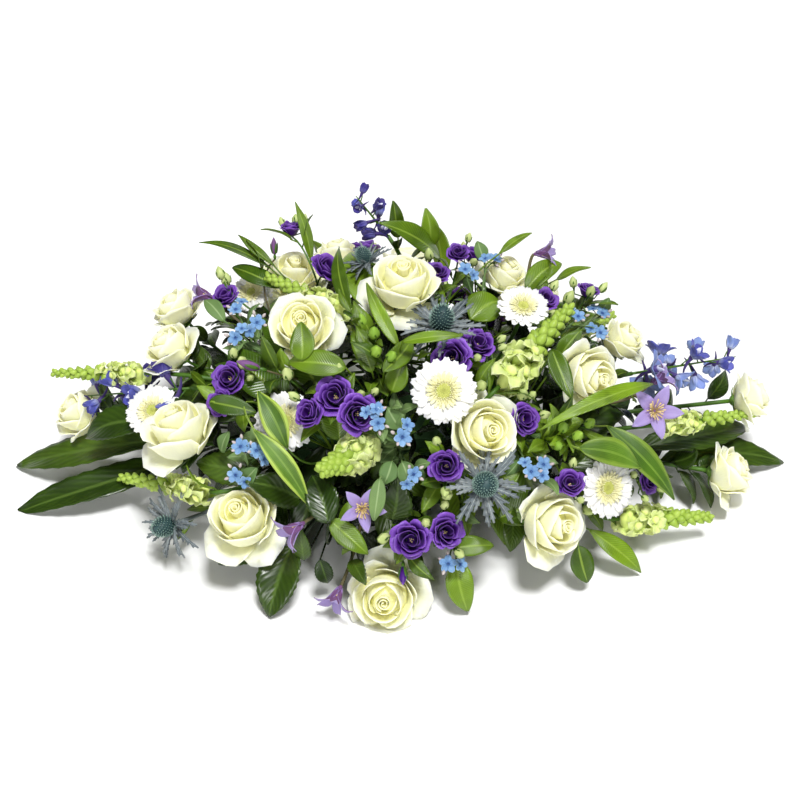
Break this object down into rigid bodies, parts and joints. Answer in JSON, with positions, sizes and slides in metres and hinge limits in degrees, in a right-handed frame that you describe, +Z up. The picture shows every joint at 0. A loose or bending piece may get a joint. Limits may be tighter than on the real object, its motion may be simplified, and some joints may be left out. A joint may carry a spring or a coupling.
{
  "type": "flower arrangement",
  "caption": "Long oval table arrangement of mixed cut flowers, spikes and leaves, their stems standing in a block of wet foam in a low plastic tray.",
  "frame": {"origin": "centre of the tray's flat underside, where the arrangement stands on the table", "axes": "+X along the long way of the arrangement, +Z up; -Y is the side that faces the viewer"},
  "size_m": [0.9064, 0.5332, 0.3022],
  "materials": {
    "tray": "dark green moulded plastic, slightly shiny",
    "foam": "dark green wet flower foam, fine open cells",
    "rose_petal": "cream petals, greener in the heart; green stem",
    "gerbera_petal": "white rays round a yellow disc; green stem",
    "lisianthus_petal": "deep violet ruffled petals; green stems and buds",
    "snapdragon_floret": "pale green-white florets, lime buds and stem",
    "delphinium_floret": "blue-violet florets with spurs; green stem",
    "tweedia_petal": "powder blue stars; downy grey-green stem and leaves",
    "clematis_petal": "lilac tepals with mauve backs; green-brown stem",
    "sea_holly_bract": "steel-blue spiny bracts and cone; grey stem",
    "alstroemeria_leaf": "green buds, twisted leaves and stem",
    "leaf": "dark and bright green leaves, some with yellow-green rims"
  },
  "bodies": {
    "root": {"tray": "tray", "foam": "foam", "rose_01": "rose_petal", "rose_02": "rose_petal", "rose_03": "rose_petal", "rose_04": "rose_petal", "rose_05": "rose_petal", "rose_06": "rose_petal", "rose_07": "rose_petal", "rose_08": "rose_petal", "rose_09": "rose_petal", "rose_10": "rose_petal", "rose_11": "rose_petal", "rose_12": "rose_petal", "rose_13": "rose_petal", "rose_14": "rose_petal", "gerbera_01": "gerbera_petal", "gerbera_02": "gerbera_petal", "gerbera_03": "gerbera_petal", "gerbera_04": "gerbera_petal", "gerbera_05": "gerbera_petal", "gerbera_06": "gerbera_petal", "lisianthus_01": "lisianthus_petal", "lisianthus_02": "lisianthus_petal", "lisianthus_03": "lisianthus_petal", "lisianthus_04": "lisianthus_petal", "lisianthus_05": "lisianthus_petal", "lisianthus_06": "lisianthus_petal", "lisianthus_07": "lisianthus_petal", "lisianthus_08": "lisianthus_petal", "lisianthus_09": "lisianthus_petal", "lisianthus_10": "lisianthus_petal", "snapdragon_01": "snapdragon_floret", "snapdragon_02": "snapdragon_floret", "snapdragon_03": "snapdragon_floret", "snapdragon_04": "snapdragon_floret", "snapdragon_05": "snapdragon_floret", "snapdragon_06": "snapdragon_floret", "snapdragon_07": "snapdragon_floret", "snapdragon_08": "snapdragon_floret", "delphinium_01": "delphinium_floret", "delphinium_02": "delphinium_floret", "delphinium_03": "delphinium_floret", "tweedia_01": "tweedia_petal", "tweedia_02": "tweedia_petal", "tweedia_03": "tweedia_petal", "clematis_01": "clematis_petal", "clematis_02": "clematis_petal", "clematis_03": "clematis_petal", "sea_holly_01": "sea_holly_bract", "sea_holly_02": "sea_holly_bract", "alstroemeria_01": "alstroemeria_leaf", "foliage_left": "leaf", "foliage_right": "leaf", "foliage_top": "leaf", "foliage_middle": "leaf", "foliage_side": "leaf", "foliage_front": "leaf", "foliage_corner": "leaf", "foliage_back": "leaf"}
  },
  "joints": []
}
